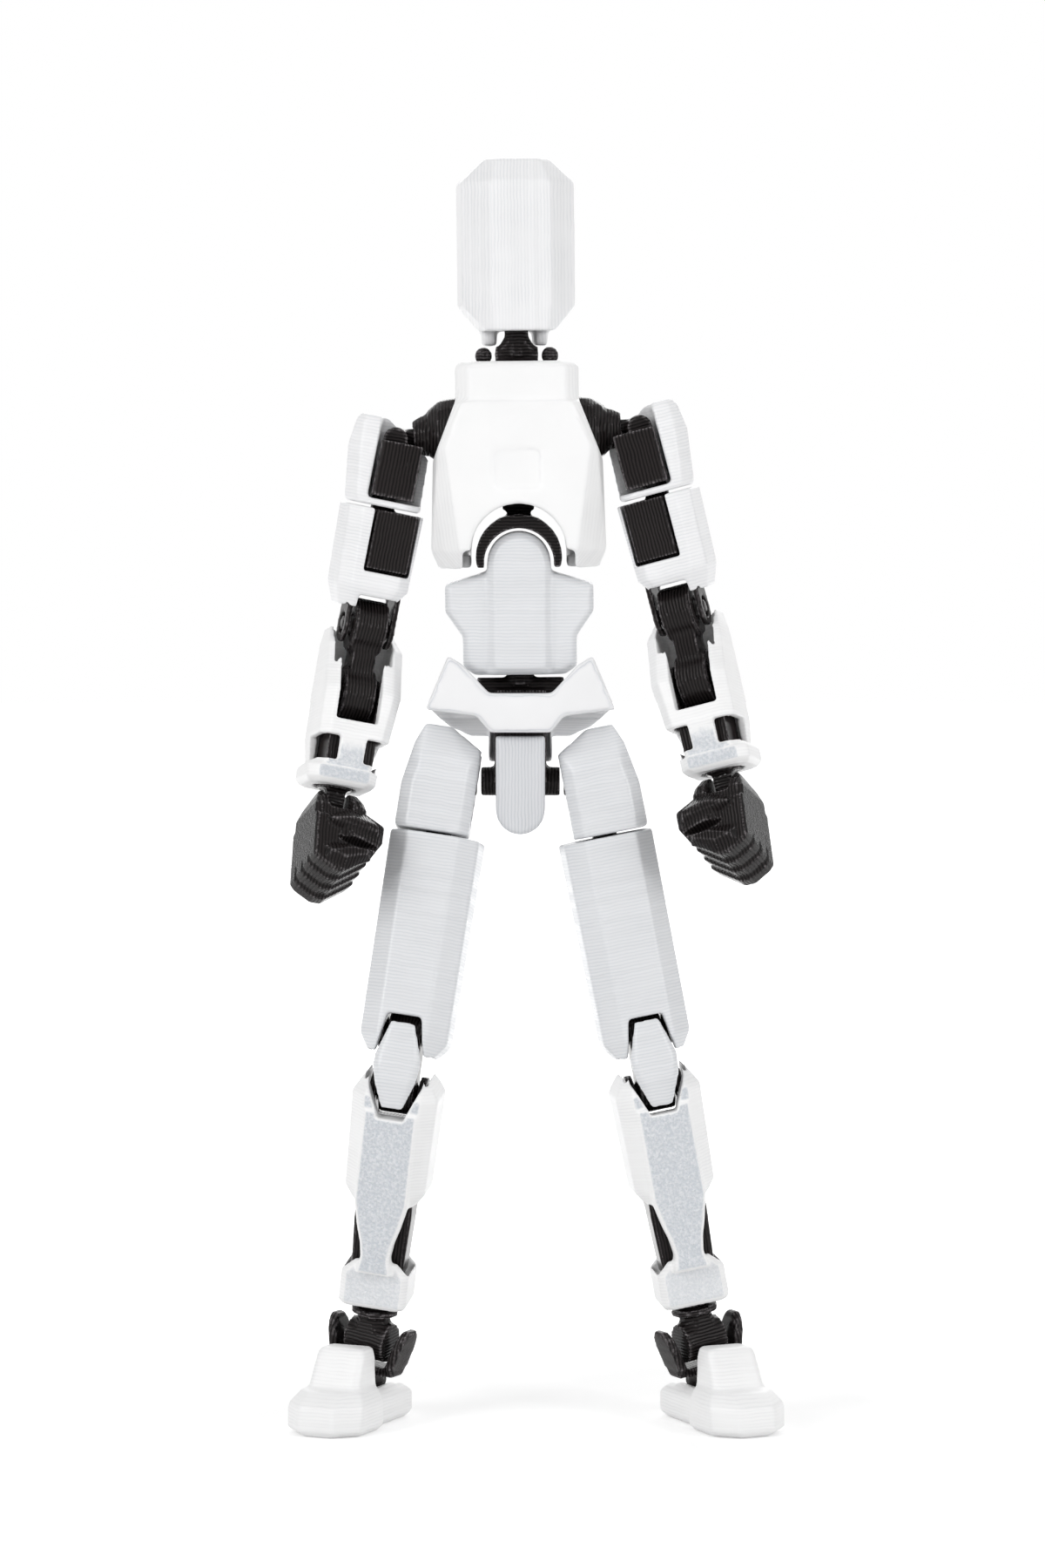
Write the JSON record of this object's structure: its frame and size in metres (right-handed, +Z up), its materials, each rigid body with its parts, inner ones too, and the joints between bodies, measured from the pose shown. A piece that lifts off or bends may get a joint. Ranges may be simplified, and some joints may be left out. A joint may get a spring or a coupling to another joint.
{
  "type": "posable action figure",
  "caption": "Small free-standing posable figure with a faceless head, white armour plates over a black jointed frame, and closed fists.",
  "frame": {"origin": "centre of the bounding box on the ground between the feet", "axes": "+Z up, the figure faces -Y, its left hand is towards +X"},
  "size_m": [0.0548, 0.0184, 0.1395],
  "materials": {
    "white_pla": "satin white printed plastic with fine layer lines, and a fine speckle on faces printed against a textured bed",
    "black_pla": "glossy black printed plastic with fine lines along each piece"
  },
  "bodies": {
    "pelvis": {"pelvis_front": "white_pla", "pelvis_back": "white_pla", "pelvis_core": "black_pla", "groin_plate": "white_pla"},
    "waist": {"waist_bar": "black_pla"},
    "abdomen": {"abdomen_shell": "white_pla", "abdomen_core": "black_pla"},
    "diaphragm": {"diaphragm_socket": "black_pla"},
    "chest": {"chest_front": "white_pla", "chest_back": "white_pla", "chest_core": "black_pla"},
    "neck": {"neck_link": "black_pla"},
    "head": {"head_shell": "white_pla"},
    "left_hip": {"left_hip_link": "black_pla"},
    "left_hip_guard": {"left_hip_armour": "white_pla"},
    "left_thigh": {"left_thigh_frame": "black_pla", "left_thigh_armour": "white_pla"},
    "left_knee": {"left_knee_link": "black_pla", "left_kneecap": "white_pla"},
    "left_shin": {"left_shin_frame": "black_pla", "left_shin_armour": "white_pla"},
    "left_ankle": {"left_ankle_link": "black_pla"},
    "left_clevis": {"left_ankle_clevis": "black_pla"},
    "left_foot": {"left_foot": "white_pla"},
    "left_clavicle": {"left_clavicle_link": "black_pla"},
    "left_shoulder_hinge": {"left_shoulder_hinge": "black_pla"},
    "left_shoulder": {"left_shoulder_frame": "black_pla", "left_shoulder_armour": "white_pla"},
    "left_upper_arm": {"left_upper_arm_frame": "black_pla", "left_upper_arm_armour": "white_pla"},
    "left_elbow": {"left_elbow_link": "black_pla"},
    "left_forearm": {"left_forearm_frame": "black_pla", "left_forearm_shell": "white_pla"},
    "left_wrist": {"left_wrist_link": "black_pla"},
    "left_hand": {"left_hand": "black_pla"},
    "right_hip": {"right_hip_link": "black_pla"},
    "right_hip_guard": {"right_hip_armour": "white_pla"},
    "right_thigh": {"right_thigh_frame": "black_pla", "right_thigh_armour": "white_pla"},
    "right_knee": {"right_knee_link": "black_pla", "right_kneecap": "white_pla"},
    "right_shin": {"right_shin_frame": "black_pla", "right_shin_armour": "white_pla"},
    "right_ankle": {"right_ankle_link": "black_pla"},
    "right_clevis": {"right_ankle_clevis": "black_pla"},
    "right_foot": {"right_foot": "white_pla"},
    "right_clavicle": {"right_clavicle_link": "black_pla"},
    "right_shoulder_hinge": {"right_shoulder_hinge": "black_pla"},
    "right_shoulder": {"right_shoulder_frame": "black_pla", "right_shoulder_armour": "white_pla"},
    "right_upper_arm": {"right_upper_arm_frame": "black_pla", "right_upper_arm_armour": "white_pla"},
    "right_elbow": {"right_elbow_link": "black_pla"},
    "right_forearm": {"right_forearm_frame": "black_pla", "right_forearm_shell": "white_pla"},
    "right_wrist": {"right_wrist_link": "black_pla"},
    "right_hand": {"right_hand": "black_pla"}
  },
  "joints": [
    {"name": "waist_bend", "type": "hinge", "parent": "pelvis", "child": "waist", "pos_m": [-0.00173, 0.00248, 0.08183], "axis": [-0.9999, 0, -0.0113], "range_deg": [-12, 12]},
    {"name": "waist_twist", "type": "hinge", "parent": "waist", "child": "abdomen", "pos_m": [-0.00173, 0.00248, 0.08183], "axis": [-0.0113, 0, 0.9999], "range_deg": [-25, 25]},
    {"name": "chest_lean", "type": "hinge", "parent": "abdomen", "child": "diaphragm", "pos_m": [-0.00189, 0.00248, 0.09533], "axis": [0, 1, 0], "range_deg": [-3, 5]},
    {"name": "chest_bend", "type": "hinge", "parent": "diaphragm", "child": "chest", "pos_m": [-0.00197, 0.00248, 0.10243], "axis": [-0.9999, 0, -0.0113], "range_deg": [-7, 8]},
    {"name": "neck_tilt", "type": "hinge", "parent": "chest", "child": "neck", "pos_m": [-0.00214, 0.00248, 0.11803], "axis": [-0.9999, 0, -0.0113], "range_deg": [-15, 15]},
    {"name": "head_turn", "type": "hinge", "parent": "neck", "child": "head", "pos_m": [-0.00219, 0.00248, 0.12243], "axis": [-0.0113, 0, 0.9999], "range_deg": [-60, 60]},
    {"name": "left_leg_swing", "type": "hinge", "parent": "pelvis", "child": "left_hip", "pos_m": [0.00637, 0.00248, 0.07123], "axis": [-1, 0, 0], "range_deg": [-25, 60]},
    {"name": "left_knee_upper", "type": "hinge", "parent": "left_thigh", "child": "left_knee", "pos_m": [0.01181, 0.00095, 0.0438], "axis": [0.9736, 0.1324, 0.1857], "range_deg": [0, 55]},
    {"name": "left_knee_lower", "type": "hinge", "parent": "left_knee", "child": "left_shin", "pos_m": [0.01304, 0.00095, 0.03732], "axis": [0.9736, 0.1324, 0.1857], "range_deg": [0, 55]},
    {"name": "left_arm_swing", "type": "hinge", "parent": "left_clavicle", "child": "left_shoulder_hinge", "pos_m": [0.01134, 0.00248, 0.11019], "axis": [-0.9982, 0, -0.0593], "range_deg": [-40, 110]},
    {"name": "left_arm_raise", "type": "hinge", "parent": "left_shoulder_hinge", "child": "left_shoulder", "pos_m": [0.01134, 0.00248, 0.11019], "axis": [-0.001, -0.9998, 0.0174], "range_deg": [-2, 70]},
    {"name": "left_elbow_upper", "type": "hinge", "parent": "left_upper_arm", "child": "left_elbow", "pos_m": [0.01597, 0.00231, 0.0899], "axis": [-0.937, 0.2385, -0.2553], "range_deg": [-5, 55]},
    {"name": "left_elbow_lower", "type": "hinge", "parent": "left_elbow", "child": "left_forearm", "pos_m": [0.0178, 0.00153, 0.08246], "axis": [-0.937, 0.2385, -0.2553], "range_deg": [-7, 60]},
    {"name": "left_leg_raise", "type": "hinge", "parent": "left_hip", "child": "left_hip_guard", "pos_m": [0.00637, 0.00248, 0.07123], "axis": [0, -0.9984, 0.0557], "range_deg": [-4, 20]},
    {"name": "left_ankle_bend", "type": "hinge", "parent": "left_ankle", "child": "left_clevis", "pos_m": [0.01818, 0.00254, 0.00923], "axis": [-0.8826, -0.4317, -0.186], "range_deg": [-20, 20]},
    {"name": "left_thigh_twist", "type": "hinge", "parent": "left_hip_guard", "child": "left_thigh", "pos_m": [0.00757, 0.00214, 0.06516], "axis": [0.1942, -0.0546, -0.9794], "range_deg": [-25, 15]},
    {"name": "left_clavicle_shrug", "type": "hinge", "parent": "chest", "child": "left_clavicle", "pos_m": [0.00485, 0.00248, 0.1098], "axis": [0, -1, 0], "range_deg": [-2, 12]},
    {"name": "left_arm_twist", "type": "hinge", "parent": "left_shoulder", "child": "left_upper_arm", "pos_m": [0.01336, 0.00234, 0.10266], "axis": [-0.2588, 0.0171, 0.9658], "range_deg": [-12, 35]},
    {"name": "right_leg_swing", "type": "hinge", "parent": "pelvis", "child": "right_hip", "pos_m": [-0.00983, 0.00248, 0.07123], "axis": [-1, 0, 0], "range_deg": [-25, 60]},
    {"name": "right_knee_upper", "type": "hinge", "parent": "right_thigh", "child": "right_knee", "pos_m": [-0.01417, -0.00165, 0.04387], "axis": [0.9806, -0.1434, -0.1337], "range_deg": [-5, 55]},
    {"name": "right_knee_lower", "type": "hinge", "parent": "right_knee", "child": "right_shin", "pos_m": [-0.01506, -0.00164, 0.03733], "axis": [0.9806, -0.1434, -0.1337], "range_deg": [-5, 55]},
    {"name": "right_arm_swing", "type": "hinge", "parent": "right_clavicle", "child": "right_shoulder_hinge", "pos_m": [-0.0154, 0.00248, 0.10883], "axis": [-0.9921, 0, -0.1253], "range_deg": [-40, 110]},
    {"name": "right_arm_raise", "type": "hinge", "parent": "right_shoulder_hinge", "child": "right_shoulder", "pos_m": [-0.0154, 0.00248, 0.10883], "axis": [0.0022, 0.9998, -0.0173], "range_deg": [-2, 70]},
    {"name": "right_elbow_upper", "type": "hinge", "parent": "right_upper_arm", "child": "right_elbow", "pos_m": [-0.01871, 0.00232, 0.08828], "axis": [-0.952, -0.2365, 0.1943], "range_deg": [-5, 55]},
    {"name": "right_elbow_lower", "type": "hinge", "parent": "right_elbow", "child": "right_forearm", "pos_m": [-0.02006, 0.00154, 0.08074], "axis": [-0.952, -0.2365, 0.1943], "range_deg": [-7, 60]},
    {"name": "right_leg_raise", "type": "hinge", "parent": "right_hip", "child": "right_hip_guard", "pos_m": [-0.00983, 0.00248, 0.07123], "axis": [0, 0.9888, -0.1491], "range_deg": [-4, 13]},
    {"name": "right_ankle_bend", "type": "hinge", "parent": "right_ankle", "child": "right_clevis", "pos_m": [-0.01827, 0.00258, 0.00923], "axis": [-0.883, 0.4388, 0.1669], "range_deg": [-20, 20]},
    {"name": "right_thigh_twist", "type": "hinge", "parent": "right_hip_guard", "child": "right_thigh", "pos_m": [-0.01079, 0.00156, 0.06517], "axis": [0.1547, 0.1473, 0.9769], "range_deg": [-25, 15]},
    {"name": "right_clavicle_shrug", "type": "hinge", "parent": "chest", "child": "right_clavicle", "pos_m": [-0.00895, 0.00248, 0.10965], "axis": [0, 1, 0], "range_deg": [-2, 12]},
    {"name": "right_arm_twist", "type": "hinge", "parent": "right_shoulder", "child": "right_upper_arm", "pos_m": [-0.01693, 0.00235, 0.10118], "axis": [-0.196, -0.0166, -0.9805], "range_deg": [-12, 35]},
    {"name": "left_wrist_turn", "type": "hinge", "parent": "left_forearm", "child": "left_wrist", "pos_m": [0.02053, -0.00093, 0.0725], "axis": [-0.2044, 0.2186, 0.9542], "range_deg": [-30, 45]},
    {"name": "left_wrist_bend", "type": "hinge", "parent": "left_wrist", "child": "left_hand", "pos_m": [0.02088, -0.0013, 0.07087], "axis": [-0.9149, 0.3039, -0.2656], "range_deg": [-15, 20]},
    {"name": "left_ankle_turn", "type": "hinge", "parent": "left_shin", "child": "left_ankle", "pos_m": [0.01818, 0.00254, 0.00923], "axis": [-0.1797, -0.0558, 0.9821], "range_deg": [-20, 20]},
    {"name": "left_foot_tilt", "type": "hinge", "parent": "left_clevis", "child": "left_foot", "pos_m": [0.019, 0.00295, 0.00442], "axis": [0.4394, -0.8983, 0], "range_deg": [-10, 10]},
    {"name": "right_wrist_turn", "type": "hinge", "parent": "right_forearm", "child": "right_wrist", "pos_m": [-0.02214, -0.00091, 0.07062], "axis": [-0.1428, -0.2182, -0.9654], "range_deg": [-30, 45]},
    {"name": "right_wrist_bend", "type": "hinge", "parent": "right_wrist", "child": "right_hand", "pos_m": [-0.02238, -0.00128, 0.06898], "axis": [-0.9308, -0.302, 0.2059], "range_deg": [-15, 20]},
    {"name": "right_ankle_turn", "type": "hinge", "parent": "right_shin", "child": "right_ankle", "pos_m": [-0.01827, 0.00258, 0.00923], "axis": [-0.1123, 0.1478, -0.9826], "range_deg": [-20, 20]},
    {"name": "right_foot_tilt", "type": "hinge", "parent": "right_clevis", "child": "right_foot", "pos_m": [-0.019, 0.00295, 0.0044], "axis": [0.445, 0.8955, 0], "range_deg": [-10, 10]}
  ]
}
